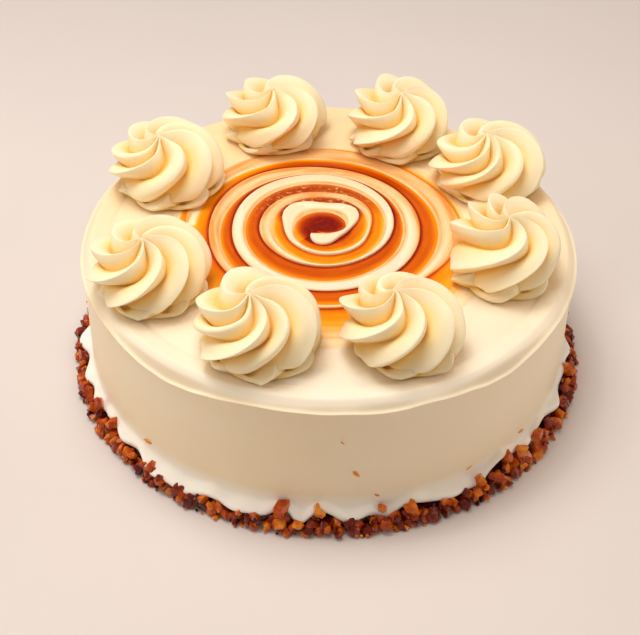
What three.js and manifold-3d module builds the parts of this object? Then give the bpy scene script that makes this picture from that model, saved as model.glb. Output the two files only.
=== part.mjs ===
// Butterscotch cake: a round cake under whipped cream. A comb of cream winds through orange glaze
// on its top, eight piped rosettes stand round the edge, and a band of praline runs round the foot.
// Millimetres, +Z up. The origin is the middle of the flat base.
import * as THREE from 'three';
import { mergeVertices } from 'three/addons/utils/BufferGeometryUtils.js';
import Module from 'manifold-3d';

const wasm = await Module();
wasm.setup();

const TAU = 2 * Math.PI;
const DEG = Math.PI / 180;

// ---- Driving dimensions ----

const gap = 0.3; // clearance between pieces that touch

const cake = {
  coreRadius: 103, // where the cream stands on its base
  footRadius: 105.3, // smooth side, just above the skirt
  sideRadius: 104, // smooth side, just below the rim
  rimRadius: 104.2, // thin raised line where side and shoulder meet
  rimHeight: 58.9,
  rimWaves: 5,
  rimWaveHeight: 1.5,
  edgeRadius: 101, // edge of the flat top
  top: 62.5,
  around: 96,
};

const skirt = {
  height: 10, // mean height of the wavy lower edge of the cream
  wave: 1.7,
  lip: 1.4, // how far the lower edge swells out
  bulge: 1.5, // extra swell of each lump
  rows: [ // height above the edge and share of the swell: under the lip, at it, on the lump, above it
    { rise: 0.8, swell: 0 },
    { rise: 0, swell: 0.8 },
    { rise: 2.6, swell: 1 },
    { rise: 8, swell: 0 },
  ],
};

const glaze = {
  level: 62.2,
  depth: 3,
  radius: 67.5, // mean radius of the pool
  reach: 4, // how much further it runs on the front than on the back
  around: 64,
};

// The comb of cream: its centre line and full width, one entry for each quarter turn.
const comb = {
  centre: [-2, 3],
  start: 0.75, // turns before the first entry, counted from +X
  radii: [
    8, 10.5, 13.3, 15.3, 18.5, 20.7, 23.5, 25.5, 26.4, 27.5,
    34.5, 36.8, 38.5, 37.6, 43.2, 46.5, 51.5, 52.8, 55.5,
  ],
  widths: [7.5, 3.2, 5, 4.5, 2.2, 2.6, 3.2, 5.5, 2, 3, 6.5, 5.5, 6, 7.2, 3.4, 5, 3, 7.5, 5.5],
  crown: 0.8, // width of its top, as a share of its width at the glaze
  crest: 1.9, // above the glaze at the middle
  crestLoss: 0.34, // for each turn
  steps: 84,
  spread: 0.8, // puts more of the steps on the outer turns
};

const praline = {
  coreRadius: 107.6,
  coreHeight: 5, // where the core's top starts to slope in
  chunk: [2.9, 4.4], // size of a piece, smallest and largest, before each side varies
  side: [1.2, 1.8], // length of each side, as a share of that size
  rows: [ // pieces in each row, distance from the axis, and height as a share of the cream's edge
    { count: 50, radius: 110.8, rise: 0.25 },
    { count: 47, radius: 109.3, rise: 0.85 },
    { count: 10, radius: 108.6, rise: 1.2 },
  ],
};

// Each rosette: place round the cake (degrees), distance from the axis, radius, height, number of
// ridges, turn of the first ridge (degrees) and the way the tip leans (degrees). It stands higher
// on the side away from its tip, by its rise.
const rosettes = [
  { at: 155, from: 79, radius: 25.5, height: 25, rise: 4.0, ridges: 8, phase: 10, lean: 225 },
  { at: 109.5, from: 82, radius: 25.0, height: 24, rise: 2.0, ridges: 8, phase: 200, lean: 260 },
  { at: 67, from: 80, radius: 24.5, height: 26, rise: 5.0, ridges: 9, phase: 40, lean: 265 },
  { at: 30, from: 82.5, radius: 26.0, height: 24, rise: 3.5, ridges: 8, phase: 120, lean: 215 },
  { at: -18, from: 73, radius: 23.5, height: 28, rise: 3.5, ridges: 8, phase: 75, lean: 300 },
  { at: -67, from: 74.5, radius: 23.5, height: 24, rise: 1.0, ridges: 8, phase: 160, lean: 200 },
  { at: -110, from: 75, radius: 25.0, height: 25, rise: 2.0, ridges: 8, phase: 25, lean: 240 },
  { at: -151.5, from: 79, radius: 24.5, height: 24, rise: 4.0, ridges: 8, phase: 95, lean: 225 },
];

// Outline of a rosette from its foot to its tip: share of the radius, share of the height, share
// of the twist that the ridges have left to make, and share of the valleys' depth.
const rosetteRings = [
  [0.7, 0.0, 1.0, 0.5],
  [0.95, 0.12, 0.96, 0.6],
  [0.87, 0.26, 0.9, 0.7],
  [0.99, 0.38, 0.82, 0.9],
  [1.0, 0.58, 0.7, 1.0],
  [0.92, 0.8, 0.56, 1.0],
  [0.72, 0.95, 0.4, 0.9],
  [0.44, 1.0, 0.22, 0.6],
  [0.2, 0.99, 0.08, 0.3],
  [0.03, 1.08, 0.0, 0.0],
];
const rosetteShape = {
  twist: 150 * DEG,
  valley: 0.22, // depth of the valleys between ridges, as a share of the radius
  lean: 0.2, // how far the tip stands off the middle, as a share of the radius
  pointsPerRidge: 3,
};

// ---- Colours ----

const material = (color, roughness) => new THREE.MeshStandardMaterial({ color, roughness, metalness: 0 });
const whippedCream = material('#f7e8c8', 0.55);
const butterscotch = material('#e05a08', 0.12);
const pralineBrown = material('#7a2a0a', 0.25);

// ---- Helpers ----

/** Repeatable random numbers from 0 to 1. */
function seededRandom(seed) {
  let state = seed;
  return () => {
    state = (state * 48271) % 2147483647;
    return state / 2147483647;
  };
}

/** Moves every vertex of a geometry by a function of its place. */
function warp(geometry, place) {
  const position = geometry.attributes.position;
  const point = new THREE.Vector3();
  for (let i = 0; i < position.count; i += 1) {
    point.fromBufferAttribute(position, i);
    place(point);
    position.setXYZ(i, point.x, point.y, point.z);
  }
  return geometry;
}

/** Closed geometry as a solid, its shared vertices merged and its empty triangles dropped. */
function solidOf(geometry) {
  const bare = geometry.clone();
  bare.deleteAttribute('normal');
  bare.deleteAttribute('uv');
  const merged = mergeVertices(bare, 1e-4);
  const corners = [];
  for (let i = 0; i < merged.index.count; i += 3) {
    const [a, b, c] = [0, 1, 2].map((k) => merged.index.getX(i + k));
    if (a !== b && b !== c && c !== a) corners.push(a, b, c);
  }
  return new wasm.Manifold(new wasm.Mesh({
    numProp: 3,
    vertProperties: Float32Array.from(merged.attributes.position.array),
    triVerts: Uint32Array.from(corners),
  }));
}

/** Solid as a geometry again. */
function geometryOf(solid) {
  const mesh = solid.getMesh();
  const geometry = new THREE.BufferGeometry();
  geometry.setAttribute('position', new THREE.BufferAttribute(mesh.vertProperties, 3));
  geometry.setIndex(new THREE.BufferAttribute(mesh.triVerts, 1));
  geometry.computeVertexNormals();
  return geometry;
}

/** Body of revolution about Z from [radius, height] pairs. */
function turned(profile, around) {
  const points = profile.map(([radius, height]) => new THREE.Vector2(radius, height));
  return new THREE.LatheGeometry(points, around).rotateX(Math.PI / 2);
}

/** Smooth value between the entries of a list, at a place counted in entries. */
function between(list, place) {
  const last = list.length - 1;
  const at = Math.min(Math.max(Math.floor(place), 0), last - 1);
  const before = list[Math.max(at - 1, 0)];
  const after = list[Math.min(at + 2, last)];
  const t = place - at;
  const bend = 2 * list[at] - 2 * list[at + 1] + (list[at + 1] - before) / 2 + (after - list[at]) / 2;
  const ease = -3 * list[at] + 3 * list[at + 1] - (list[at + 1] - before) - (after - list[at]) / 2;
  return list[at] + t * ((list[at + 1] - before) / 2 + t * (ease + t * bend));
}

// ---- Cream body ----

/** Height of the cream's lower edge at an angle round the cake. */
function skirtHeight(angle) {
  const slow = Math.sin(7 * angle + 0.6) + 0.7 * Math.sin(11 * angle + 2.1);
  return skirt.height + skirt.wave * (0.55 * slow + 0.35 * Math.sin(19 * angle + 4));
}

/** How far the lump on the lower edge stands out at an angle round the cake. */
function skirtSwell(angle) {
  const lump = Math.sin(19 * angle + 5.5) + Math.sin(7 * angle + 3.7);
  return skirt.lip + skirt.bulge * Math.max(lump, 0) / 2;
}

/** Height by which the rim line rises or dips at an angle round the cake. */
function rimWave(angle) {
  return cake.rimWaveHeight * Math.cos(cake.rimWaves * (angle + 94 * DEG));
}

/** The cream without its recess, or the space that the praline keeps clear of it. */
function creamGeometry(grow) {
  const core = cake.coreRadius + grow;
  const foot = cake.footRadius + grow;
  const profile = [
    [0, -grow],
    [core, -grow],
    ...skirt.rows.map((row, i) => [i === 0 ? core : foot, -1 - i]), // placed below by row number
    [cake.sideRadius + grow, cake.rimHeight - 1.6],
    [cake.rimRadius + grow, cake.rimHeight],
    [cake.edgeRadius + grow, cake.top],
    [0, cake.top],
  ];
  return warp(turned(profile, cake.around), (point) => {
    const angle = Math.atan2(point.y, point.x);
    const radius = Math.hypot(point.x, point.y);
    const row = skirt.rows[Math.round(-point.z) - 1];
    if (row) {
      const wide = 1 + (row.swell * skirtSwell(angle)) / radius;
      const lowered = row.rise < 1 ? grow : 0;
      point.set(point.x * wide, point.y * wide, skirtHeight(angle) + row.rise - lowered);
    } else if (Math.abs(point.z - cake.rimHeight) < 2 && radius > cake.edgeRadius + 1) {
      point.z += rimWave(angle);
    }
  });
}

// ---- Comb of cream in the glaze ----

/** The comb as a swept band: a box bent along the spiral, narrower and tilted at its crest. */
function combGeometry(grow) {
  const quarters = comb.radii.length - 1;
  const band = new THREE.BoxGeometry(1, 1, 1, comb.steps, 1, 1);
  return warp(band, (point) => {
    const quarter = quarters * (point.x + 0.5) ** comb.spread;
    const atEnd = Math.abs(point.x) === 0.5 ? Math.sign(point.x) : 0;
    const middle = between(comb.radii, quarter);
    const turn = comb.start + quarter / 4 + (atEnd * grow) / (TAU * middle);
    const across = -point.y; // outward, so that the faces keep pointing out
    const upper = point.z > 0;
    const width = between(comb.widths, quarter) * (upper ? comb.crown : 1) * (atEnd ? 0.4 : 1);
    const radius = middle + across * (width + 2 * grow);
    const crest = comb.crest - comb.crestLoss * turn;
    point.x = comb.centre[0] + radius * Math.cos(turn * TAU);
    point.y = comb.centre[1] + radius * Math.sin(turn * TAU);
    point.z = glaze.level + (upper ? crest * (1 + 0.5 * across) + grow : -glaze.depth - 1);
  });
}

/** The pool that the glaze lies in. */
function poolGeometry(grow) {
  const disc = new THREE.CylinderGeometry(1, 1, 1, glaze.around).rotateX(Math.PI / 2);
  return warp(disc, (point) => {
    const angle = Math.atan2(point.y, point.x);
    const radius = glaze.radius - glaze.reach * Math.sin(angle) + 0.8 * Math.sin(6 * angle) + grow;
    const wide = Math.hypot(point.x, point.y) > 0.5 ? radius : 0;
    const upper = point.z > 0;
    const bottom = glaze.level - glaze.depth - grow;
    point.set(wide * Math.cos(angle), wide * Math.sin(angle), upper ? glaze.level + 10 * grow : bottom);
  });
}

// ---- Rosettes ----

/** Point on a rosette's plain outline at a ring, and the way that its surface faces there. */
function outlineAt(step, radius, height) {
  const placeOf = ([wide, high]) => new THREE.Vector2(wide * radius, high * height);
  const below = placeOf(rosetteRings[Math.max(step - 1, 0)]);
  const above = placeOf(rosetteRings[Math.min(step + 1, rosetteRings.length - 1)]);
  const along = above.sub(below).normalize();
  return { place: placeOf(rosetteRings[step]), outward: new THREE.Vector2(along.y, -along.x) };
}

/** Twisted star that swells, folds in at a waist and closes to a leaning tip. */
function rosetteGeometry({ radius, height, rise, ridges, phase, lean }) {
  const around = ridges * rosetteShape.pointsPerRidge;
  const rings = rosetteRings.length - 1;
  const column = new THREE.CylinderGeometry(1, 1, 1, around, rings).rotateX(Math.PI / 2);
  return warp(column, (point) => {
    const step = Math.round((0.5 + point.z) * rings);
    const [, high, twist, depth] = rosetteRings[step];
    const angle = Math.atan2(point.y, point.x);
    const onAxis = Math.hypot(point.x, point.y) < 0.5;
    const valley = onAxis || step === 0 ? 0 : 1 - Math.max(Math.cos(ridges * angle), 0);
    const { place, outward } = outlineAt(step, radius, height);
    place.addScaledVector(outward, -valley * depth * rosetteShape.valley * radius);
    const reach = onAxis ? 0 : place.x;
    const way = angle - twist * rosetteShape.twist + phase * DEG;
    const leaning = lean * DEG;
    const off = rosetteShape.lean * radius * high * high;
    point.x = reach * Math.cos(way) + off * Math.cos(leaning);
    point.y = reach * Math.sin(way) + off * Math.sin(leaning);
    point.z = place.y - (rise * high * reach * Math.cos(way - leaning)) / radius;
  });
}

// ---- Praline ----

/** One broken piece of caramelised nut, with few sides and no two alike. */
function chunkGeometry(random, size) {
  const side = () => size * THREE.MathUtils.lerp(...praline.side, random());
  const chunk = new THREE.BoxGeometry(side(), side(), side());
  return chunk.rotateX(TAU * random()).rotateY(TAU * random()).rotateZ(TAU * random());
}

/** Smaller core of the heap: a ring whose top runs just under the cream's edge. */
function pralineCore() {
  const inner = cake.coreRadius + gap;
  const outer = praline.coreRadius;
  const upper = -1; // stands for the height of the cream's edge
  const profile = [
    [inner, 0],
    [outer, 0],
    [outer, praline.coreHeight],
    [cake.footRadius, upper],
    [inner, upper],
    [inner, 0],
  ];
  return warp(turned(profile, cake.around / 2), (point) => {
    if (point.z < upper / 2) point.z = skirtHeight(Math.atan2(point.y, point.x)) - 3 * gap;
  });
}

/** Ring of pieces fused on the core, flat on its base and clear of the cream. */
function pralineSolid() {
  const random = seededRandom(7919);
  const pieces = [solidOf(pralineCore())];
  for (const row of praline.rows) {
    for (let i = 0; i < row.count; i += 1) {
      const angle = ((i + 0.5 * random()) / row.count) * TAU;
      const size = THREE.MathUtils.lerp(...praline.chunk, random());
      const out = row.radius + 0.6 * (random() - 0.5);
      const up = row.rise * (skirtHeight(angle) - 1.5) + 0.8 * random();
      const chunk = chunkGeometry(random, size);
      chunk.translate(out * Math.cos(angle), out * Math.sin(angle), Math.max(up, 0.75 * size));
      pieces.push(solidOf(chunk));
    }
  }
  const floor = new THREE.BoxGeometry(300, 300, 20).translate(0, 0, -10);
  const around = solidOf(creamGeometry(gap)).add(solidOf(floor));
  const parts = wasm.Manifold.union(pieces).subtract(around).decompose();
  return parts.sort((a, b) => b.volume() - a.volume())[0]; // a loose scrap is dropped
}

// ---- Assembly ----

const group = new THREE.Group();

function add(name, geometry, finish) {
  const mesh = new THREE.Mesh(geometry, finish);
  mesh.name = name;
  group.add(mesh);
  return mesh;
}

const recessed = solidOf(creamGeometry(0)).subtract(solidOf(poolGeometry(gap)));
const creamSolid = recessed.add(solidOf(combGeometry(0)));
const glazeSolid = solidOf(poolGeometry(0)).subtract(solidOf(combGeometry(gap)));

add('cream_body', geometryOf(creamSolid), whippedCream);
add('butterscotch_glaze', geometryOf(glazeSolid), butterscotch);
add('praline_ring', geometryOf(pralineSolid()), pralineBrown);

rosettes.forEach((rosette, i) => {
  const mesh = add(`rosette_${i + 1}`, rosetteGeometry(rosette), whippedCream);
  const angle = rosette.at * DEG;
  mesh.position.set(rosette.from * Math.cos(angle), rosette.from * Math.sin(angle), cake.top + gap);
});

export default group;
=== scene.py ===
import math
import random

import bmesh
import bpy
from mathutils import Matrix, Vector


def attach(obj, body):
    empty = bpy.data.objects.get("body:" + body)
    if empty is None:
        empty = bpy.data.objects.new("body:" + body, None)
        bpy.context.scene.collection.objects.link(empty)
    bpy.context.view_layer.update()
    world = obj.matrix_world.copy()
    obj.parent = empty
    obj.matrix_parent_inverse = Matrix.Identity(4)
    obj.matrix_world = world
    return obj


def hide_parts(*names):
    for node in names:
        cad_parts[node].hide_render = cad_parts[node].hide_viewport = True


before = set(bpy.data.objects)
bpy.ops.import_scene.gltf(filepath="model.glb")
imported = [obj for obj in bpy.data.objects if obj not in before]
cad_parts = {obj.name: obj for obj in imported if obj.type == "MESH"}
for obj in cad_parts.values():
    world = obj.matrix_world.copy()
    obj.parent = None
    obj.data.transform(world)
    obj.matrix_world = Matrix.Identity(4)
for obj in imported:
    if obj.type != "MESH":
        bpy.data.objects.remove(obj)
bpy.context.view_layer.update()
print("frame loaded")

mm = 0.001  # every size below is in millimetres unless its note says otherwise
degree = math.pi / 180
fullTurn = 2 * math.pi
eighth = 45  # of a turn, in degrees
mergeReach = 0.002 * mm  # vertices closer than this become one


# Tools for modelling

def allOff():
    if bpy.context.object and bpy.context.object.mode == "EDIT":
        bpy.ops.object.mode_set(mode="OBJECT")
    bpy.ops.object.select_all(action="DESELECT")


def startEdit():
    bpy.ops.object.mode_set(mode="EDIT")
    bpy.context.tool_settings.mesh_select_mode = (True, False, False)


def endEdit():
    bpy.ops.object.mode_set(mode="OBJECT")


def selectAll():
    bpy.ops.mesh.select_all(action="SELECT")


def openMesh():
    mesh = bpy.context.object.data
    return mesh, bmesh.from_edit_mesh(mesh)


def showSelection(mesh, shape):
    shape.select_flush(True)
    bmesh.update_edit_mesh(mesh, loop_triangles=False, destructive=False)


def selectVerts(rule):  # in edit mode, only the vertices that the rule picks
    mesh, shape = openMesh()
    bpy.ops.mesh.select_all(action="DESELECT")
    for vert in shape.verts:
        if rule(vert):
            vert.select = True
    showSelection(mesh, shape)


def move(x, y, z):
    bpy.ops.transform.translate(value=(x, y, z))


def grow(share, middle, upright=1):
    bpy.ops.transform.resize(value=(share, share, upright), center_override=middle)


def turn(degrees, middle):  # anticlockwise seen from above; transform.rotate turns the other way here
    bpy.ops.transform.rotate(value=-degrees * degree, orient_axis="Z", center_override=middle)


def pullOut(x, y, z):
    bpy.ops.mesh.extrude_region_move(TRANSFORM_OT_translate={"value": (x, y, z)})


def pushSoftly(way, reach, falloff):  # moves what is selected, and its surroundings less and less
    bpy.ops.transform.translate(
        value=way, use_proportional_edit=True, proportional_edit_falloff=falloff,
        proportional_size=reach * mm)


def mergeCentre():
    bpy.ops.mesh.merge(type="CENTER")


def drawOutline(place, points):  # a chain of edges that stands on a place; each point is given across and up
    allOff()
    bpy.ops.mesh.primitive_plane_add(size=1 * mm, location=place)
    startEdit()
    mergeCentre()
    here = (0, 0)
    for i, (across, up) in enumerate(points):
        step = ((across - here[0]) * mm, 0, (up - here[1]) * mm)
        if i == 0:
            move(*step)
        else:
            pullOut(*step)
        here = (across, up)
    return bpy.context.object


def spinRound(steps, middle):
    selectAll()
    bpy.ops.mesh.spin(steps=steps, angle=fullTurn, center=middle, axis=(0, 0, 1))


def eachOfRing(shift):  # moves each selected vertex by its own amount, from its angle round the cake
    mesh, shape = openMesh()
    for vert in shape.verts:
        if vert.select:
            vert.co += Vector(shift(math.atan2(vert.co.y, vert.co.x)))
    bmesh.update_edit_mesh(mesh)


def tidyFaces():
    selectAll()
    bpy.ops.mesh.remove_doubles(threshold=mergeReach)
    bpy.ops.mesh.normals_make_consistent(inside=False)


def applyModifiers(piece):
    for modifier in list(piece.modifiers):
        bpy.ops.object.modifier_apply(modifier=modifier.name)


def finishPiece(piece, name, material, node, smooth=True):
    allOff()
    piece.select_set(True)
    bpy.context.view_layer.objects.active = piece
    bpy.ops.object.transform_apply(location=True, rotation=True, scale=True)
    if smooth:
        bpy.ops.object.shade_smooth()
    piece.name = name
    piece.data.name = name
    piece.data.materials.clear()
    piece.data.materials.append(material)
    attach(piece, "root")
    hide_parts(node)


def subdivide(piece, levels):
    step = piece.modifiers.new("Subdivision", "SUBSURF")
    step.levels = levels
    step.render_levels = levels
    applyModifiers(piece)


def joinAll(pieces):
    allOff()
    for piece in pieces:
        piece.select_set(True)
    bpy.context.view_layer.objects.active = pieces[0]
    bpy.ops.object.join()
    return pieces[0]


# Tools for numbers and places

def rise(value, low, high):  # 0 below low, 1 above high, smooth between
    t = min(max((value - low) / (high - low), 0), 1)
    return t * t * (3 - 2 * t)


def fades(value, start, full, fading, gone):  # 0, then 1, then 0 again
    return rise(value, start, full) * (1 - rise(value, fading, gone))


def onLine(points, value):  # straight lines between the points of a list
    for (x, y), (nextX, nextY) in zip(points, points[1:]):
        if value <= nextX:
            return y + (nextY - y) * max(value - x, 0) / (nextX - x)
    return points[-1][1]


def between(numbers, place):  # smooth value between the entries of a list
    last = len(numbers) - 1
    at = min(max(int(place), 0), last - 1)
    before = numbers[max(at - 1, 0)]
    here, there = numbers[at], numbers[at + 1]
    after = numbers[min(at + 2, last)]
    t = place - at
    one, two = (there - before) / 2, (after - here) / 2
    return here + t * (one + t * (3 * (there - here) - 2 * one - two + t * (2 * (here - there) + one + two)))


def waves(rows, angle):  # each row is a height in mm, the number of waves round the cake and their start
    return sum(height * math.sin(number * angle + start) for height, number, start in rows)


def onRing(angle, radius, height):  # degrees round the cake
    return radius * math.cos(angle * degree), radius * math.sin(angle * degree), height


def either(draw, reach):  # a random number on either side of nought
    return draw.uniform(-reach, reach)


# Tools for materials

def colour(text):  # "#rrggbb" as seen on screen, to the linear values that a shader wants
    parts = [int(text[i:i + 2], 16) / 255 for i in (1, 3, 5)]
    return tuple(p / 12.92 if p <= 0.04045 else ((p + 0.055) / 1.055) ** 2.4 for p in parts) + (1,)


def newGroup(name, inputs, outputs):
    group = bpy.data.node_groups.new(name, "ShaderNodeTree")
    for label, kind, value in inputs:
        socket = group.interface.new_socket(name=label, in_out="INPUT", socket_type=kind)
        socket.default_value = value
    for label, kind in outputs:
        group.interface.new_socket(name=label, in_out="OUTPUT", socket_type=kind)
    start = group.nodes.new("NodeGroupInput")
    end = group.nodes.new("NodeGroupOutput")
    return group, start, end


def addNode(tree, kind, **values):
    node = tree.nodes.new("ShaderNode" + kind)
    for key, value in values.items():
        setattr(node, key, value)
    return node


def link(tree, start, end):
    tree.links.new(start, end)


def feed(tree, sockets, values):  # a value is another node's output, a number or a tuple
    for socket, value in zip(sockets, values):
        if isinstance(value, bpy.types.NodeSocket):
            link(tree, value, socket)
        else:
            socket.default_value = value


def mathNode(tree, operation, first, second, clamp=False):
    node = addNode(tree, "Math", operation=operation, use_clamp=clamp)
    feed(tree, node.inputs, (first, second))
    return node.outputs[0]


def vectorNode(tree, operation, *values):
    node = addNode(tree, "VectorMath", operation=operation)
    feed(tree, node.inputs, values)
    return node.outputs["Value" if operation == "LENGTH" else "Vector"]


def mixColour(tree, share, first, second):
    node = addNode(tree, "Mix", data_type="RGBA")
    feed(tree, (node.inputs[0], node.inputs[6], node.inputs[7]), (share, first, second))
    return node.outputs[2]


def rangeNode(tree, value, low, high, newLow=0, newHigh=1):
    node = addNode(tree, "MapRange")
    link(tree, value, node.inputs[0])
    feed(tree, node.inputs[1:5], (low, high, newLow, newHigh))
    return node.outputs[0]


def rampNode(tree, value, stops):
    node = addNode(tree, "ValToRGB")
    ramp = node.color_ramp
    while len(ramp.elements) < len(stops):
        ramp.elements.new(0.5)
    for element, (place, tint) in zip(ramp.elements, stops):
        element.position = place
        element.color = colour(tint)
    link(tree, value, node.inputs[0])
    return node.outputs[0]


def placeNode(tree):
    return addNode(tree, "TexCoord").outputs["Object"]


def attributeNode(tree, name):
    return addNode(tree, "Attribute", attribute_name=name).outputs["Fac"]


def noiseNode(tree, vector, scale, detail=2, roughness=0.5):
    node = addNode(tree, "TexNoise")
    sockets = [node.inputs[name] for name in ("Vector", "Scale", "Detail", "Roughness")]
    feed(tree, sockets, (vector, scale, detail, roughness))
    return node.outputs["Fac"]


def bumpNode(tree, height, strength, distance):  # distance in mm
    node = addNode(tree, "Bump")
    node.inputs["Strength"].default_value = strength
    node.inputs["Distance"].default_value = distance * mm
    link(tree, height, node.inputs["Height"])
    return node.outputs["Normal"]


def swingNode(tree, value, share):  # noise round a half becomes a swing round nought
    return mathNode(tree, "MULTIPLY", mathNode(tree, "SUBTRACT", value, 0.5), share)


def groupNode(tree, group, values):
    node = addNode(tree, "Group", node_tree=group)
    for label, value in values.items():
        node.inputs[label].default_value = value
    return node.outputs[0]


def newMaterial(name, sockets):
    material = bpy.data.materials.new(name)
    material.use_nodes = True
    shader = material.node_tree.nodes["Principled BSDF"]
    for label, value in sockets.items():
        shader.inputs[label].default_value = value
    return material, material.node_tree, shader


def spunStreaksGroup():  # streaks that run round the swirl, as a turntable and a spatula leave them
    group, start, end = newGroup(
        "spunStreaks",
        [("Centre", "NodeSocketVector", (0, 0, 0)), ("Across", "NodeSocketFloat", 900.0),
         ("Along", "NodeSocketFloat", 2.0)],
        [("Value", "NodeSocketFloat")])
    away = vectorNode(group, "SUBTRACT", placeNode(group), start.outputs["Centre"])
    flat = vectorNode(group, "MULTIPLY", away, (1, 1, 0))
    parts = addNode(group, "SeparateXYZ")
    link(group, vectorNode(group, "NORMALIZE", flat), parts.inputs[0])
    joined = addNode(group, "CombineXYZ")
    values = (vectorNode(group, "LENGTH", flat), parts.outputs[0], parts.outputs[1])
    for socket, value, scale in zip(joined.inputs, values, ("Across", "Along", "Along")):
        link(group, mathNode(group, "MULTIPLY", value, start.outputs[scale]), socket)
    noise = noiseNode(group, joined.outputs[0], scale=1, detail=3, roughness=0.6)
    link(group, noise, end.inputs["Value"])
    return group


pitLook = {
    "grain": 700.0,  # noise scales, for each metre
    "pits": 260.0,
    "patches": 90,
    "pitEdge": 0.12,
    "bare": 0.58,  # the share of the patches that has no pits
    "grainHeight": 0.35,
}


def softPitsGroup():  # the fine grain and tiny air pits of whipped cream, as a height
    group, start, end = newGroup(
        "softPits",
        [("Grain", "NodeSocketFloat", pitLook["grain"]), ("Pits", "NodeSocketFloat", pitLook["pits"])],
        [("Height", "NodeSocketFloat")])
    place = placeNode(group)
    grain = noiseNode(group, place, start.outputs["Grain"])
    pits = addNode(group, "TexVoronoi")
    link(group, place, pits.inputs["Vector"])
    link(group, start.outputs["Pits"], pits.inputs["Scale"])
    hollow = rangeNode(group, pits.outputs["Distance"], 0, pitLook["pitEdge"])
    sparse = mathNode(group, "GREATER_THAN", noiseNode(group, place, pitLook["patches"]), pitLook["bare"])
    kept = mathNode(group, "MAXIMUM", hollow, mathNode(group, "SUBTRACT", 1, sparse))
    fine = mathNode(group, "MULTIPLY", grain, pitLook["grainHeight"])
    link(group, mathNode(group, "ADD", fine, kept), end.inputs["Height"])
    return group


# Camera, light and floor

view = {
    "place": (0.75, -375.61, 345.74),
    "turn": (48.482, -0.707, 1.230),  # degrees
    "lens": 61.875,
    "sensor": 36,
    "nearest": 10,
}

studio = {
    "floor": 8000,
    "floorSockets": {"Roughness": 0.6},
    "floorClouds": 3,  # noise scale, for each metre
    "floorTones": [(0.3, "#dcd3cf"), (0.7, "#e2d9d5")],
    "aim": (0, 0, 40),
    "world": (1.0, 0.85, 0.72),
    "worldStrength": 0.4,
    "lamps": [  # name, place, size, watts, tint, whether its mirror image shows; each one faces the cake
        ("above", (-170, 50, 825), 480, 5.0, (1.0, 0.98, 0.94), False),  # its image would veil the glaze
        ("sparkle", (-170, 50, 825), 60, 0.35, (1.0, 0.98, 0.95), True),
        ("left", (-900, -50, 350), 500, 1.7, (1.0, 0.88, 0.76), True),
        ("right", (900, 50, 350), 500, 1.7, (1.0, 0.88, 0.76), True),
    ],
}


def setStage():
    allOff()
    bpy.ops.object.camera_add(
        location=[p * mm for p in view["place"]], rotation=[t * degree for t in view["turn"]])
    camera = bpy.context.object
    camera.data.lens = view["lens"]
    camera.data.sensor_width = view["sensor"]
    camera.data.clip_start = view["nearest"] * mm
    bpy.context.scene.camera = camera
    world = bpy.data.worlds.new("softRoom")
    world.use_nodes = True
    back = world.node_tree.nodes["Background"]
    back.inputs["Color"].default_value = (*studio["world"], 1)
    back.inputs["Strength"].default_value = studio["worldStrength"]
    bpy.context.scene.world = world
    for name, place, size, watts, tint, mirrored in studio["lamps"]:
        start = Vector(place) * mm
        aim = (Vector(studio["aim"]) * mm - start).to_track_quat("-Z", "Y").to_euler()
        bpy.ops.object.light_add(type="AREA", location=start, rotation=aim)
        lamp = bpy.context.object
        lamp.name = name + "Lamp"
        lamp.data.size = size * mm
        lamp.data.energy = watts
        lamp.data.color = tint
        lamp.visible_glossy = mirrored
    bpy.context.scene.view_settings.view_transform = "Standard"
    print("camera and light set")


def layFloor():
    allOff()
    bpy.ops.mesh.primitive_plane_add(size=studio["floor"] * mm)
    floor = bpy.context.object
    floor.name = "floor"
    material, tree, shader = newMaterial("paleFloor", studio["floorSockets"])
    place = placeNode(tree)
    cloud = noiseNode(tree, place, studio["floorClouds"], detail=3)
    link(tree, rampNode(tree, cloud, studio["floorTones"]), shader.inputs["Base Color"])
    floor.data.materials.append(material)
    print("floor laid")


# Cream coat

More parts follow.
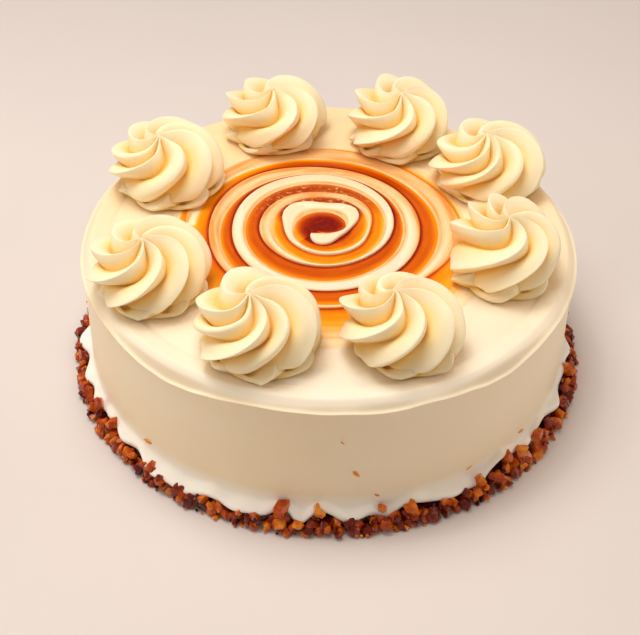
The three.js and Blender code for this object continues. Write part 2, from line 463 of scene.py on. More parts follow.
cream = {
    "around": 288,
    "inner": 103,
    "edge": 6.3,  # mean height of the wavy lower edge
    "edgeLowest": 1.2,
    "edgeWaves": [(0.5, 7, 0.6), (0.35, 11, 2.1), (0.35, 19, 4), (0.21, 43, 1)],
    "lip": 0.8,  # how far out the lower edge is pushed everywhere
    "lipWaves": [(0.4, 31, 2)],
    "lumpSize": 1.8,
    "lumps": [  # degrees round the cake, half width in degrees, how far out and how far down it is pushed
        (186, 4, 2.6, 1.5), (199, 3, 1.8, 1.5), (207, 3, 1.6, 2.0), (214, 2, 1.0, -1.5), (221, 3, 1.4, 1.0),
        (232, 5, 2.6, 1.0), (240, 5, 2.4, 1.8), (247, 2.5, 0.8, -1.8), (252, 4, 2.5, 1.2),
        (258, 3, 1.8, 1.8), (265.5, 2, 2.2, 3.0), (270.5, 2, 0.6, -2.8), (275.5, 3.5, 1.6, 2.6),
        (283.5, 2, 1.4, 3.2),
        (289, 2.5, 0.4, -2.8), (297, 5, 1.6, 0.8), (305, 2.5, 1.2, 1.5), (312, 3, 0.2, -4.0),
        (320, 2.5, 1.2, 0.6), (327, 3, 0.2, -2.8), (335, 3, 1.4, 0.8), (346, 2, 0.3, -2.2),
        (354, 3, 2.0, 1.2), (8, 4, 1.8, 1.5),
        (20, 3, 0.4, -1.8), (33, 5, 2.2, 1.2), (47, 3, 1.4, 2.0), (58, 4, 0.3, -2.2), (70, 5, 2.2, 1.0),
        (84, 4, 1.6, 2.0), (97, 3, 0.2, -2.2), (110, 5, 2.4, 1.4), (124, 3, 1.5, 1.8), (137, 4, 0.3, -1.8),
        (150, 5, 2.3, 1.2), (163, 3, 1.6, 2.0), (174, 3, 0.5, -1.4),
    ],
    "lipRows": [  # radius, height from the wavy edge, share of the lumps
        (103.5, 1.4, 0.0), (105.0, 0.1, 0.3), (106.0, -0.5, 0.6), (106.5, 0.1, 0.85), (106.7, 1.1, 1.0),
        (106.6, 2.2, 1.03), (106.3, 3.1, 0.9), (105.9, 3.7, 0.6), (105.55, 4.1, 0.27), (105.4, 4.7, 0.08),
        (105.3, 6.0, 0.0),
    ],
    "sideRows": [(105.3, 16), (105.2, 22), (105.0, 30), (104.7, 38), (104.4, 46), (104.2, 53)],
    "rim": 58.9,  # mean height of the thread of cream that the spatula left under the shoulder
    "rimWaves": [(0.1, 17, 1), (0.08, 41, 0)],
    "rimLine": [  # degrees round the cake, height of the thread there
        (0, 59.5), (24, 58.4), (48, 59.6), (76, 58.3), (104, 59.7), (130, 58.2), (156, 59.5), (182, 58.6),
        (204, 59.8), (216, 59.6), (224, 58.0), (230, 56.7), (236, 56.2), (240, 56.8), (246, 58.3),
        (254, 59.7),
        (262, 59.9), (272, 59.6), (283, 58.8), (290.5, 59.8), (300, 58.7), (306, 57.5), (311, 57.1),
        (318, 58.4), (326, 59.6), (342, 59.6), (360, 59.5),
    ],
    "rimRows": [  # radius, height from the thread
        (104.1, -2.6), (104.1, -0.9), (104.15, -0.42), (104.7, -0.22), (105.05, 0.0), (104.7, 0.2),
        (103.8, 0.34), (103.4, 0.8),
    ],
    "topRows": [  # radius, height
        (102.5, 61.5), (101.8, 62.1), (101.1, 62.7), (100.5, 63.1), (99.9, 63.25), (98.9, 63.15),
        (97, 62.85), (95, 62.6), (93.6, 62.35), (92.9, 61.95), (92.2, 61.95), (91.0, 62.35), (88, 62.5),
        (84, 62.55), (80, 62.5), (75, 62.5),
    ],
    "shift": -4,  # the recess for the glaze lies this far towards the front
    "recessRows": [
        (71.5, 62.5), (69.6, 62.35), (68.2, 61.9), (66.5, 61.5), (60, 61.4), (40, 61.4), (12, 61.4),
    ],
    "levels": 1,
}


def lumpSum(angle, number):
    total = 0
    for lump in cream["lumps"]:
        away = (angle / degree - lump[0] + 180) % 360 - 180
        total += lump[number] * math.exp(-(away / lump[1]) ** 2)
    return total


def edgeHeight(angle):
    return max(cream["edge"] + waves(cream["edgeWaves"], angle) - lumpSum(angle, 3), cream["edgeLowest"])


def lipSwell(angle):
    return cream["lip"] + waves(cream["lipWaves"], angle) + cream["lumpSize"] * lumpSum(angle, 2)


def rimWave(angle):
    place = angle / degree % 360
    for (start, low), (end, high) in zip(cream["rimLine"], cream["rimLine"][1:]):
        if place <= end:
            line = low + (high - low) * rise(place, start, end)
            return line - cream["rim"] + waves(cream["rimWaves"], angle)


def nextRing(before, radius, height, middle=(0, 0, 0)):  # a ring of the coat, from the ring before
    pullOut(0, 0, (height - before[1]) * mm)
    grow(radius / before[0], middle)
    return radius, height


def creamCoat():
    allOff()
    edge, inner = cream["edge"], cream["inner"]
    bpy.ops.mesh.primitive_circle_add(
        vertices=cream["around"], radius=inner * mm, fill_type="NOTHING", location=(0, 0, 0))
    coat = bpy.context.object
    startEdit()
    selectAll()
    ring = nextRing((inner, 0), inner, edge)
    eachOfRing(lambda angle: (0, 0, (edgeHeight(angle) - edge) * mm))
    was = 0
    for radius, up, swell in cream["lipRows"]:
        ring = nextRing(ring, radius, edge + up)
        more = (swell - was) * mm
        eachOfRing(lambda angle: (
            more * lipSwell(angle) * math.cos(angle), more * lipSwell(angle) * math.sin(angle), 0))
        was = swell
    ring = nextRing(ring, *cream["sideRows"][0])
    eachOfRing(lambda angle: (0, 0, (edge - edgeHeight(angle)) * mm))
    for row in cream["sideRows"][1:]:
        ring = nextRing(ring, *row)
    for i, (radius, up) in enumerate(cream["rimRows"]):
        ring = nextRing(ring, radius, cream["rim"] + up)
        if i == 0:
            eachOfRing(lambda angle: (0, 0, rimWave(angle) * mm))
    ring = nextRing(ring, *cream["topRows"][0])
    eachOfRing(lambda angle: (0, 0, -rimWave(angle) * mm))
    for row in cream["topRows"][1:]:
        ring = nextRing(ring, *row)
    middle = (0, cream["shift"] * mm, 0)
    move(*middle)
    for row in cream["recessRows"]:
        ring = nextRing(ring, *row, middle)
    endEdit()
    subdivide(coat, cream["levels"])
    startEdit()
    selectVerts(lambda vert: vert.is_boundary)  # the underside and the floor of the recess are capped last
    bpy.ops.mesh.edge_face_add()
    tidyFaces()
    endEdit()
    print("cream coat made")
    return coat


# Comb of cream that winds through the glaze

swirl = {
    "centre": (-2, 3),
    "level": 62.2,  # of the glaze
    "first": 5,  # eighths of a turn anticlockwise from +X to the first entry
    "bands": [  # inner edge, outer edge, share of it that is a thin film of glaze; one for each eighth
        (4.5, 11.0, 0), (3.8, 12.3, 0), (5.2, 9.6, 0), (8.8, 11.8, 0), (10, 19.5, 0), (10.8, 17.4, 0.25),
        (11.5, 22, 0), (12.5, 17.6, 0), (15, 17.8, 0), (17.2, 19.4, 0), (17.5, 19.8, 0), (18.2, 20, 0.5),
        (20.8, 24.6, 0.8), (22.3, 25.2, 0.8), (23, 27.8, 0.7), (22, 28, 0.6), (23, 27.1, 0.3),
        (25.8, 27.1, 0), (25.2, 27.2, 0), (25.5, 29.6, 0.1), (28.8, 34.5, 0), (32, 39.5, 0),
        (33.5, 40.8, 0), (33.5, 39.6, 0.1), (35, 41, 0.1), (36, 42.5, 0), (34.3, 41.7, 0),
        (33.5, 41.2, 0.3), (36, 43, 0.7), (39.8, 45.5, 0.9), (42.2, 50.3, 0.6), (44, 49.5, 0.8),
        (47, 51, 0.6), (51, 53.2, 0.5), (49, 52.5, 0.3), (48.5, 58.5, 0.6), (48.8, 57.5, 0.8),
        (52, 61, 0.9), (55.8, 63, 0.8), (57, 61.5, 0.8),
    ],
    "steps": 8,  # for each eighth
    "taper": 5,  # how many steps each end narrows over
    "blunt": 0.15,  # and how many of them the very end starts with
    "crest": (1.5, 0.45),  # height over the glaze, at the start and at the end
    "filmLeast": 0.05,  # a smaller share of film is left out
    "filmSlope": 2,  # how fast the film thins out across the band
    "section": [  # share across the band, share of the crest, film at its foot
        (-0.03, -1.2, 1.0), (0.0, -0.25, 1.0), (0.05, 0.26, 0.8), (0.17, 0.5, 0.35), (0.42, 0.82, 0.0),
        (0.68, 1.0, 0.0), (0.86, 0.93, 0.0), (0.96, 0.62, 0.1), (1.0, -0.2, 1.0), (1.02, -1.2, 1.0),
    ],
    "levels": 1,
}


def bandAt(place):  # inner edge, outer edge and film share of the comb, place in eighths from its start
    return [between([band[i] for band in swirl["bands"]], place) for i in range(3)]


def markSection():  # notes on the first section how far across each vertex lies, and the film at its foot
    shape = openMesh()[1]
    floats = shape.verts.layers.float
    for name in ("film", "across", "foot"):
        floats.new(name)
    for vert, (across, _, wet) in zip(shape.verts, swirl["section"]):
        vert[floats["across"]] = across
        vert[floats["foot"]] = wet


def coverSection(share):  # notes how thick the film of glaze is on the newest section
    shape = openMesh()[1]
    floats = shape.verts.layers.float
    film, part, foot = floats["film"], floats["across"], floats["foot"]
    for vert in shape.verts:
        if vert.select:
            covered = 0
            if share > swirl["filmLeast"]:
                covered = min(max(0.5 + swirl["filmSlope"] * (vert[part] - 1 + share), 0), 1)
            vert[film] = max(vert[foot], covered)


def creamComb():
    last = len(swirl["bands"]) - 1
    centre = Vector((*swirl["centre"], swirl["level"])) * mm
    # the section is drawn standing on the +X side of the centre, 1 mm wide, and filled
    comb = drawOutline(centre, [(across - 0.5, height) for across, height, _ in swirl["section"]])
    selectAll()
    bpy.ops.mesh.edge_face_add()
    markSection()
    wide, high, middle, angle = 1, 1, 0, 0
    firstHigh, lastHigh = swirl["crest"]
    total = last * swirl["steps"]
    for i in range(total + 1):
        place = i / swirl["steps"]
        inner, outer, share = bandAt(place)
        newWide = (outer - inner) * min(1, (min(i, total - i) + swirl["blunt"]) / swirl["taper"]) ** 0.5
        newHigh = firstHigh + (lastHigh - firstHigh) * place / last
        newAngle = (swirl["first"] + place) * eighth
        newMiddle = (inner + outer) / 2
        if i > 0:
            pullOut(0, 0, 0)
        way = Vector((math.cos(angle * degree), math.sin(angle * degree), 0))
        move(*(way * (newMiddle - middle) * mm))
        grow(newWide / wide, centre + way * newMiddle * mm, newHigh / high)
        turn(newAngle - angle, centre)
        wide, high, middle, angle = newWide, newHigh, newMiddle, newAngle
        coverSection(share)
    tidyFaces()
    endEdit()
    subdivide(comb, swirl["levels"])
    print("comb of cream made")
    return comb


# Glaze

glaze = {
    "radius": 69.4,
    "shift": -4,
    "bottom": 60.9,
    "bottomRadius": 66,
    "edge": [(0, -0.35), (-0.5, -0.12), (-1.3, 0)],  # across from the radius, up from the level of the glaze
    "around": 256,
    "step": 0.75,
    "tones": [  # distance from the middle of the swirl, tone
        (0, 0.0), (9.5, 0.04), (11, 0.12), (12.5, 0.40), (17, 0.52), (20, 0.6), (25, 0.58), (28, 0.34),
        (34, 0.3), (40, 0.36), (47, 0.36), (52, 0.44), (56, 0.60), (61, 0.74), (68, 0.92), (72, 1.0),
    ],
    "paler": (8, 48, 58),  # towards the rim the tone is read so far further out, between these radii
    "palerSide": (-0.7, 0),  # but not at the front: -1 is the front, 1 the back
    "rear": 0.27,  # of a turn from +X to the middle of the darker stretch at the back
    "rearEdge": (0.2, 0.9),  # cosines of the angles from there at which it starts and is full
    "rearDark": [(0.14, 12, 16, 45, 55), (0.34, 12, 14, 21, 24)],  # how much, radii: none, full, full, none
    "smear": (13, 16, 31, 35),  # the same radii for the rough stretch
    "thin": (0.3, 0.55, 1.05),  # how much paler before the next band, from which to which share of the gap
    "deep": (0.3, 0.2, 1.5),  # how much darker behind the last band, from which to which distance: thicker glaze against the band, partly painted shadow of the band
    "leastGap": 0.5,
}


def glazePool(material):
    middle = Vector((0, glaze["shift"], 0)) * mm
    level, bottom = swirl["level"], glaze["bottom"]
    outline = [(0, bottom), (glaze["bottomRadius"], bottom)]
    outline += [(glaze["radius"] + across, level + up) for across, up in glaze["edge"]]
    radius = outline[-1][0]
    while radius > glaze["step"]:
        radius -= glaze["step"]
        outline.append((radius, level))
    outline.append((0, level))
    pool = drawOutline(middle, outline)
    spinRound(glaze["around"], middle)
    tidyFaces()
    endEdit()
    paintPool(pool)
    print("glaze poured")
    finishPiece(pool, "butterscotchGlaze", material, "butterscotch_glaze")


def nearBands(radius, turns):  # outer edge of the band inside a point and inner edge of the one outside
    last = len(swirl["bands"]) - 1
    place = (turns * 8 - swirl["first"]) % 8
    inside, outside = 0, None
    while place <= last:
        inner, outer, _ = bandAt(place)
        if (inner + outer) / 2 > radius:
            outside = inner
            break
        inside = outer
        place += 8
    return inside, outside


def paintPool(pool):  # tone runs from 0, the deepest maroon, to 1, thin and pale
    mesh = pool.data
    tone = mesh.attributes.new("tone", "FLOAT", "POINT")
    smear = mesh.attributes.new("smear", "FLOAT", "POINT")
    middle = swirl["centre"]
    offset = pool.location / mm
    further, *rimRadii = glaze["paler"]
    thin, *thinShares = glaze["thin"]
    deep, *deepReach = glaze["deep"]
    for i, vert in enumerate(mesh.vertices):
        x = vert.co.x / mm + offset.x - middle[0]
        y = vert.co.y / mm + offset.y - middle[1]
        radius = math.hypot(x, y)
        turns = (math.atan2(y, x) / fullTurn) % 1
        inside, outside = nearBands(radius, turns)
        side = rise(y / max(radius, 1), *glaze["palerSide"])
        value = onLine(glaze["tones"], radius + further * rise(radius, *rimRadii) * side)
        rear = rise(math.cos((turns - glaze["rear"]) * fullTurn), *glaze["rearEdge"])
        for dark, *radii in glaze["rearDark"]:
            value -= dark * rear * fades(radius, *radii)
        if outside:
            share = (radius - inside) / max(outside - inside, glaze["leastGap"])
            value += thin * rise(share, *thinShares)
        # darker just outside each band: partly thicker glaze, partly painted shadow of the band
        if inside:
            value -= deep * (1 - rise(radius - inside, *deepReach))
        tone.data[i].value = min(max(value, 0), 1)
        smear.data[i].value = rear * fades(radius, *glaze["smear"])


# Rosettes

rosette = {
    "base": 62.8,
    "points": [  # of the outline from one crest to the next: place, depth of the valley
        (0.0, -0.06), (0.07, 0.08), (0.17, 0.28), (0.27, 0.60), (0.34, 0.94), (0.39, 1.0), (0.46, 0.80),
        (0.58, 0.50), (0.73, 0.27), (0.89, 0.09),
    ],
    "twist": 138,  # degrees from the foot to the tip
    "depth": 0.31,  # of the valleys, as a share of the radius
    "lean": 0.2,
    "bodyRings": [  # share of the radius, of the height, of the twist left, of the valleys' depth
        (0.62, 0.10, 1.00, 0.4), (0.80, 0.12, 0.99, 0.5), (0.93, 0.18, 0.95, 0.7), (0.99, 0.27, 0.90, 0.85),
        (1.00, 0.38, 0.84, 0.95), (0.99, 0.50, 0.77, 1.0), (0.97, 0.62, 0.70, 1.0), (0.92, 0.74, 0.62, 1.0),
        (0.83, 0.85, 0.53, 1.0), (0.70, 0.93, 0.43, 1.0), (0.55, 0.98, 0.33, 1.0), (0.40, 1.00, 0.23, 0.95),
        (0.27, 1.00, 0.15, 0.8), (0.16, 1.02, 0.08, 0.5), (0.08, 1.05, 0.03, 0.25),
    ],
    "footRings": [  # the same for the first coil, which lies under the rest
        (0.60, 0.00, 1.00, 0.4), (0.86, 0.00, 1.00, 0.5), (0.96, 0.04, 0.98, 0.8), (1.00, 0.10, 0.95, 0.95),
        (0.98, 0.17, 0.91, 1.0), (0.90, 0.24, 0.87, 1.0), (0.74, 0.29, 0.83, 0.9), (0.50, 0.31, 0.80, 0.5),
    ],
    "footSize": 0.93,
    "footPhase": 70,  # degrees further round than the rest
    "cap": 0.6,  # from the last ring to the point
    "pinch": 0.1,  # the least share of a ring's radius that its valleys keep
    "crease": 0.5,
    "widths": (0.72, 1.34),  # of the ridges, as shares of the mean
    "bulges": (-0.04, 0.05),
    "nudges": 6,
    "nudge": 1.3,
    "nudgeSize": 3.5,
    "nudgeReach": 7,
    "nudgeOut": 0.85,  # share of the radius
    "nudgeUp": (0.3, 0.9),  # shares of the height
    "tipSize": 0.12,  # these two are shares of the radius
    "tipReach": 0.3,
    "tipWays": (150, 260),  # degrees
    "tipBend": (1.6, 0.7),  # sideways and up
    "levels": 2,
    "seed": 5,
    # degrees round the cake, distance from its axis, radius, height, how much higher the side away from the
    # tip stands, ridges, phase, the way that it leans, how far and which way its foot is shifted
    "each": [
        (155, 79, 25.5, 25, 4.0, 7, 10, 225, 2.2, 300),
        (109.5, 82, 25.0, 24, 2.0, 6, 200, 260, 1.5, 250),
        (67, 80, 24.5, 26, 5.0, 7, 40, 265, 2.4, 265),
        (30, 82.5, 26.0, 24, 3.5, 7, 120, 215, 2.0, 240),
        (-18, 73, 23.5, 28, 3.5, 7, 75, 300, 3.0, 290),
        (-67, 74.5, 23.5, 24, 1.0, 7, 160, 200, 2.4, 320),
        (-110, 75, 25.0, 25, 2.0, 7, 25, 240, 2.6, 300),
        (-151.5, 79, 24.5, 24, 4.0, 7, 95, 225, 2.8, 280),
    ],
}


def outwardAt(rings, step, radius, height):  # the way that a rosette's outline faces at a ring
    low = rings[max(step - 1, 0)]
    high = rings[min(step + 1, len(rings) - 1)]
    along = Vector(((high[0] - low[0]) * radius, 0, (high[1] - low[1]) * height)).normalized()
    return along.z, -along.x


def starRing(radius, ridges, draw):  # spreads the points of a circle into uneven ridges and marks them, the painted shade of the valleys among the marks
    points = rosette["points"]
    widths = [draw.uniform(*rosette["widths"]) for _ in range(ridges)]
    bulges = [draw.uniform(*rosette["bulges"]) for _ in range(ridges)]
    starts = [sum(widths[:i]) for i in range(ridges)]
    mesh, shape = openMesh()
    part = shape.verts.layers.int.new("part")
    paintedValleyShade = shape.verts.layers.float.new("paintedValleyShade")
    count = ridges * len(points)
    for vert in shape.verts:
        number = round(math.atan2(vert.co.y, vert.co.x) / fullTurn * count) % count
        ridge, vert[part] = divmod(number, len(points))
        place, depth = points[vert[part]]
        # painted shade: the deeper the valley, the more golden it is painted
        vert[paintedValleyShade] = max(depth, 0)
        angle = (starts[ridge] + widths[ridge] * place) / sum(widths) * fullTurn
        reach = radius * (1 + bulges[ridge] * (1 - depth)) * mm
        vert.co = (reach * math.cos(angle), reach * math.sin(angle), 0)
    bmesh.update_edit_mesh(mesh)


def eachPart(work):  # does something to the same point of every ridge in the selected ring
    mesh, shape = openMesh()
    part = shape.verts.layers.int["part"]
    ring = [vert for vert in shape.verts if vert.select]
    for number in range(len(rosette["points"])):
        bpy.ops.mesh.select_all(action="DESELECT")
        for vert in ring:
            if vert[part] == number:
                vert.select = True
        work(number)
    for vert in ring:
        vert.select = True
    showSelection(mesh, shape)


def creaseRidges():
    mesh, shape = openMesh()
    part = shape.verts.layers.int["part"]
    bpy.ops.mesh.select_all(action="DESELECT")
    for edge in shape.edges:
        if all(vert[part] == 0 for vert in edge.verts):
            edge.select = True
    bmesh.update_edit_mesh(mesh)
    bpy.ops.transform.edge_crease(value=rosette["crease"])


def tipOver(height, slope):  # makes the side away from the tip stand higher
    mesh, shape = openMesh()
    for vert in shape.verts:
        high = min(max(vert.co.z / (height * mm), 0), 1)
        vert.co.z -= slope * high * vert.co.x
    bmesh.update_edit_mesh(mesh)


def nudgeBody(radius, height, draw):  # uneven squeezes of the bag: soft dents and swellings
    out = radius * rosette["nudgeOut"]
    for _ in range(rosette["nudges"]):
        angle = draw.uniform(0, fullTurn)
        up = height * draw.uniform(*rosette["nudgeUp"])
        spot = Vector((out * math.cos(angle), out * math.sin(angle), up)) * mm
        selectVerts(lambda vert: (vert.co - spot).length < rosette["nudgeSize"] * mm)
        if bpy.context.object.data.total_vert_sel:
            way = spot.normalized() * either(draw, rosette["nudge"]) * mm
            pushSoftly(way, rosette["nudgeReach"], "SMOOTH")


def curlTip(radius, draw):  # the peak bends over where the nozzle was pulled away
    top = max(openMesh()[1].verts, key=lambda vert: vert.co.z).co.copy()
    selectVerts(lambda vert: (vert.co - top).length < rosette["tipSize"] * radius * mm)
    side, up = rosette["tipBend"]
    way = Vector(onRing(draw.uniform(*rosette["tipWays"]), side, up)) * mm
    pushSoftly(way, rosette["tipReach"] * radius, "SHARP")


# a coil is piped at the origin, turned as it will stand
def pipeCoil(rings, radius, height, tipping, ridges, phase, leaning, draw):
    allOff()
    bpy.ops.mesh.primitive_circle_add(
        vertices=ridges * len(rosette["points"]), radius=radius * mm, fill_type="NGON", location=(0, 0, 0))
    coil = bpy.context.object
    startEdit()
    selectAll()
    starRing(rings[0][0] * radius, ridges, draw)
    middle = Vector((0, 0, rings[0][1] * height)) * mm
    move(*middle)
    turn(phase - rosette["twist"] - leaning, middle)
    depths = [depth for _, depth in rosette["points"]]
    shares = [1] * len(depths)
    drops = [0] * len(depths)
    before = rings[0]
    for step, ring in enumerate(rings):
        if step:
            lift = (ring[1] - before[1]) * height
            shift = rosette["lean"] * radius * (ring[1] ** 2 - before[1] ** 2)
            pullOut(shift * mm, 0, lift * mm)
            middle += Vector((shift, 0, lift)) * mm
            grow(ring[0] / before[0], middle)
            turn((before[2] - ring[2]) * rosette["twist"], middle)
        out, up = outwardAt(rings, step, radius, height)
        deep = rosette["depth"] * radius * ring[3]
        newShares = [max(1 - out * deep * depth / (ring[0] * radius), rosette["pinch"]) for depth in depths]
        newDrops = [-max(up, 0) * deep * depth for depth in depths]

        def sink(k):
            grow(newShares[k] / shares[k], middle)
            move(0, 0, (newDrops[k] - drops[k]) * mm)

        eachPart(sink)
        shares, drops, before = newShares, newDrops, ring
    pullOut(0, 0, rosette["cap"] * mm)
    mergeCentre()
    creaseRidges()
    nudgeBody(radius, height, draw)
    if rings is rosette["bodyRings"]:
        curlTip(radius, draw)
    tipOver(height, tipping / radius)
    selectAll()
    turn(leaning, (0, 0, 0))
    tidyFaces()
    endEdit()
    subdivide(coil, rosette["levels"])
    return coil


def pipeRosette(number, row, material):
    at, away, radius, height, tipping, ridges, phase, leaning, footShift, footWay = row
    draw = random.Random(rosette["seed"] + number)
    footRadius, footPhase = radius * rosette["footSize"], phase + rosette["footPhase"]
    foot = pipeCoil(rosette["footRings"], footRadius, height, 0, ridges, footPhase, leaning, draw)
    foot.location = Vector(onRing(footWay, footShift, 0)) * mm
    body = pipeCoil(rosette["bodyRings"], radius, height, tipping, ridges, phase, leaning, draw)
    piece = joinAll([body, foot])
    piece.location = Vector(onRing(at, away, rosette["base"])) * mm
    print("rosette", number, "piped")
    finishPiece(piece, "rosette" + str(number), material, "rosette_" + str(number))


# Praline

praline = {
    "core": [(103.6, 0), (108.6, 0), (109.4, 2.4), (108.4, 4.6), (106.4, 5.4), (103.6, 5.2)],
    "around": 120,
    "kinds": 12,
    "grains": 3,  # kinds of crumb, with sharp edges
    "ball": 0.56,  # radius of the ball that a piece 1 mm across is cut from
    "cuts": 6,
    "cutDepths": (0.24, 0.42),
    "stretch": [(0.9, 1.5), (0.8, 1.2), (0.8, 1.1)],  # ranges along its three sides
    "melted": 0.03,  # width of its melted edges
    "meltedAngle": 35,  # degrees from which an edge is melted
    "flatAngle": 24,  # degrees up to which faces count as one
    "rows": [  # pieces, radius, height of the middle, smallest and largest size
        (140, 108.9, 2.6, 4.2, 6.2), (150, 111.9, 2.3, 3.6, 5.8), (140, 110.4, 4.9, 3.4, 5.6),
        (60, 109.6, 6.0, 3.0, 4.8), (90, 113.0, 1.6, 2.2, 3.6),
    ],
    "scatter": (0.3, 0.7, 0.6),  # share of the gap between two pieces, outwards, upwards; each way
    # above this height a piece stays clear of the lumps: beyond this swelling it moves out by this share
    "clear": (4, 1.5, 0.5),
    "pressed": [  # degrees round the cake, radius, height, size: pieces pushed into the cream
        (261.8, 108.8, 9.6, 7.8), (269.5, 108.0, 9.8, 6.6), (288.6, 108.8, 7.4, 8.8),
        (282.4, 107.6, 8.6, 3.8), (216.5, 109.0, 8.8, 6.8), (231.4, 110.2, 6.4, 7.0),
        (209.5, 109.4, 8.4, 6.6), (323.4, 109.0, 8.2, 6.4), (317.4, 108.8, 8.6, 6.2),
        (313.2, 108.2, 10.2, 5.6), (346.5, 109.0, 8.6, 6.6), (304.8, 109.2, 7.6, 6.6),
        (20.5, 108.8, 8.2, 6.6), (58.0, 108.6, 8.6, 6.8), (97.2, 108.8, 8.4, 6.4),
        (137.0, 108.6, 8.6, 6.8),
    ],
    "pressedTones": (0.5, 0.8),
    "flakes": [  # degrees round the cake, height, length: slivers that stick to the side
        (227.7, 13.5, 4.2), (276.8, 27.5, 3.2), (303.2, 14.0, 2.4), (281.5, 14.0, 2.0), (273.7, 45.5, 1.6),
        (319.5, 14.5, 3.2), (41.0, 15.0, 2.6), (118.0, 22.0, 2.2), (160.0, 14.0, 2.6),
    ],
    "flakeShape": (1, 0.5, 0.3),
    "flakeRadius": 105.4,
    "flakeTone": 0.95,
    "crumbs": 260,
    "crumbSizes": (0.9, 2.2),
    "crumbRadii": (111.5, 114.2),
    "lowest": 0.05,  # above the floor
    "tones": (0.16, 0.8),  # from dark to light
    "seed": 11,
}


def brokenPiece(draw, melted=True):  # one piece, 1 mm across, with broken faces
    allOff()
    bpy.ops.mesh.primitive_ico_sphere_add(subdivisions=1, radius=praline["ball"] * mm)
    piece = bpy.context.object
    startEdit()
    for _ in range(praline["cuts"]):
        way = Vector((draw.gauss(0, 1), draw.gauss(0, 1), draw.gauss(0, 1))).normalized()
        depth = draw.uniform(*praline["cutDepths"])
        selectAll()
        bpy.ops.mesh.bisect(plane_co=way * depth * mm, plane_no=way, use_fill=True, clear_outer=True)
    selectAll()
    bpy.ops.transform.resize(value=[draw.uniform(*stretch) for stretch in praline["stretch"]])
    bpy.ops.mesh.delete(type="ONLY_FACE")  # a cut that misses can double a face, so the skin is made afresh
    selectAll()
    bpy.ops.mesh.convex_hull()
    selectAll()
    bpy.ops.mesh.dissolve_limited(angle_limit=praline["flatAngle"] * degree)
    tidyFaces()
    endEdit()
    if melted:
        bevel = piece.modifiers.new("Bevel", "BEVEL")
        bevel.width = praline["melted"] * mm
        bevel.segments = 1
        bevel.limit_method = "ANGLE"
        bevel.angle_limit = praline["meltedAngle"] * degree
        applyModifiers(piece)
    bpy.ops.object.shade_smooth_by_angle(angle=praline["flatAngle"] * degree)
    return piece


def markTone(piece, tone):
    mark = piece.data.attributes.new("tone", "FLOAT", "POINT")
    mark.data.foreach_set("value", [tone] * len(piece.data.vertices))


def placeCopy(source, place, size, draw, tone, turned=None):
    copy = source.copy()
    copy.data = source.data.copy()
    bpy.context.collection.objects.link(copy)
    copy.rotation_euler = turned or [draw.uniform(0, fullTurn) for _ in range(3)]
    copy.scale = size if isinstance(size, tuple) else (size, size, size)
    grown = [vert.co * Vector(copy.scale) for vert in copy.data.vertices]
    turnedBy = copy.rotation_euler.to_matrix()
    lowest = min((turnedBy @ point).z for point in grown)
    x, y, z = (value * mm for value in place)
    copy.location = (x, y, max(z, praline["lowest"] * mm - lowest))
    markTone(copy, tone)
    return copy


def pralineCore():
    core = drawOutline((0, 0, 0), praline["core"])
    selectAll()
    bpy.ops.mesh.edge_face_add()  # closes the outline, of which only the edges are wanted
    bpy.ops.mesh.delete(type="ONLY_FACE")
    spinRound(praline["around"], (0, 0, 0))
    tidyFaces()
    endEdit()
    # painted shade: the core that shows between the pieces gets the darkest tone, as the shaded gaps
    markTone(core, 0.0)
    return core


def pralineBand(material):
    draw = random.Random(praline["seed"])
    kinds = [brokenPiece(draw) for _ in range(praline["kinds"])]
    grains = [brokenPiece(draw, melted=False) for _ in range(praline["grains"])]
    pieces = [pralineCore()]
    aside, outward, upward = praline["scatter"]
    clearHeight, clearFrom, clearShare = praline["clear"]
    for count, radius, height, small, large in praline["rows"]:
        for i in range(count):
            angle = (i + either(draw, aside)) / count * 360
            out = radius
            if height > clearHeight:
                out += clearShare * max(lipSwell(angle * degree) - clearFrom, 0)
            place = onRing(angle, out + either(draw, outward), height + either(draw, upward))
            tone = draw.uniform(*praline["tones"])
            pieces.append(placeCopy(draw.choice(kinds), place, draw.uniform(small, large), draw, tone))
    for angle, radius, height, size in praline["pressed"]:
        place, kind = onRing(angle, radius, height), draw.choice(kinds)
        pieces.append(placeCopy(kind, place, size, draw, draw.uniform(*praline["pressedTones"])))
    for angle, height, length in praline["flakes"]:
        place = onRing(angle, praline["flakeRadius"], height)
        size = tuple(length * share for share in praline["flakeShape"])
        turned = (90 * degree, draw.uniform(0, math.pi), (angle + 90) * degree)
        pieces.append(placeCopy(draw.choice(grains), place, size, draw, praline["flakeTone"], turned))
    for _ in range(praline["crumbs"]):
        size = draw.uniform(*praline["crumbSizes"])
        place = onRing(draw.uniform(0, 360), draw.uniform(*praline["crumbRadii"]), 0)
        pieces.append(placeCopy(draw.choice(grains), place, size, draw, draw.random()))
    allOff()
    for piece in kinds + grains:
        piece.select_set(True)
    bpy.ops.object.delete()
    band = joinAll(pieces)
    print("praline heaped up")
    finishPiece(band, "pralineBand", material, "praline_ring", smooth=False)


# Materials

softCream = {"Subsurface Weight": 0.2, "Subsurface Radius": (0.010, 0.006, 0.003)}


def aroundSwirl(tree, streaks, values):
    x, y = swirl["centre"]
    return groupNode(tree, streaks, {**values, "Centre": (x * mm, y * mm, 0)})


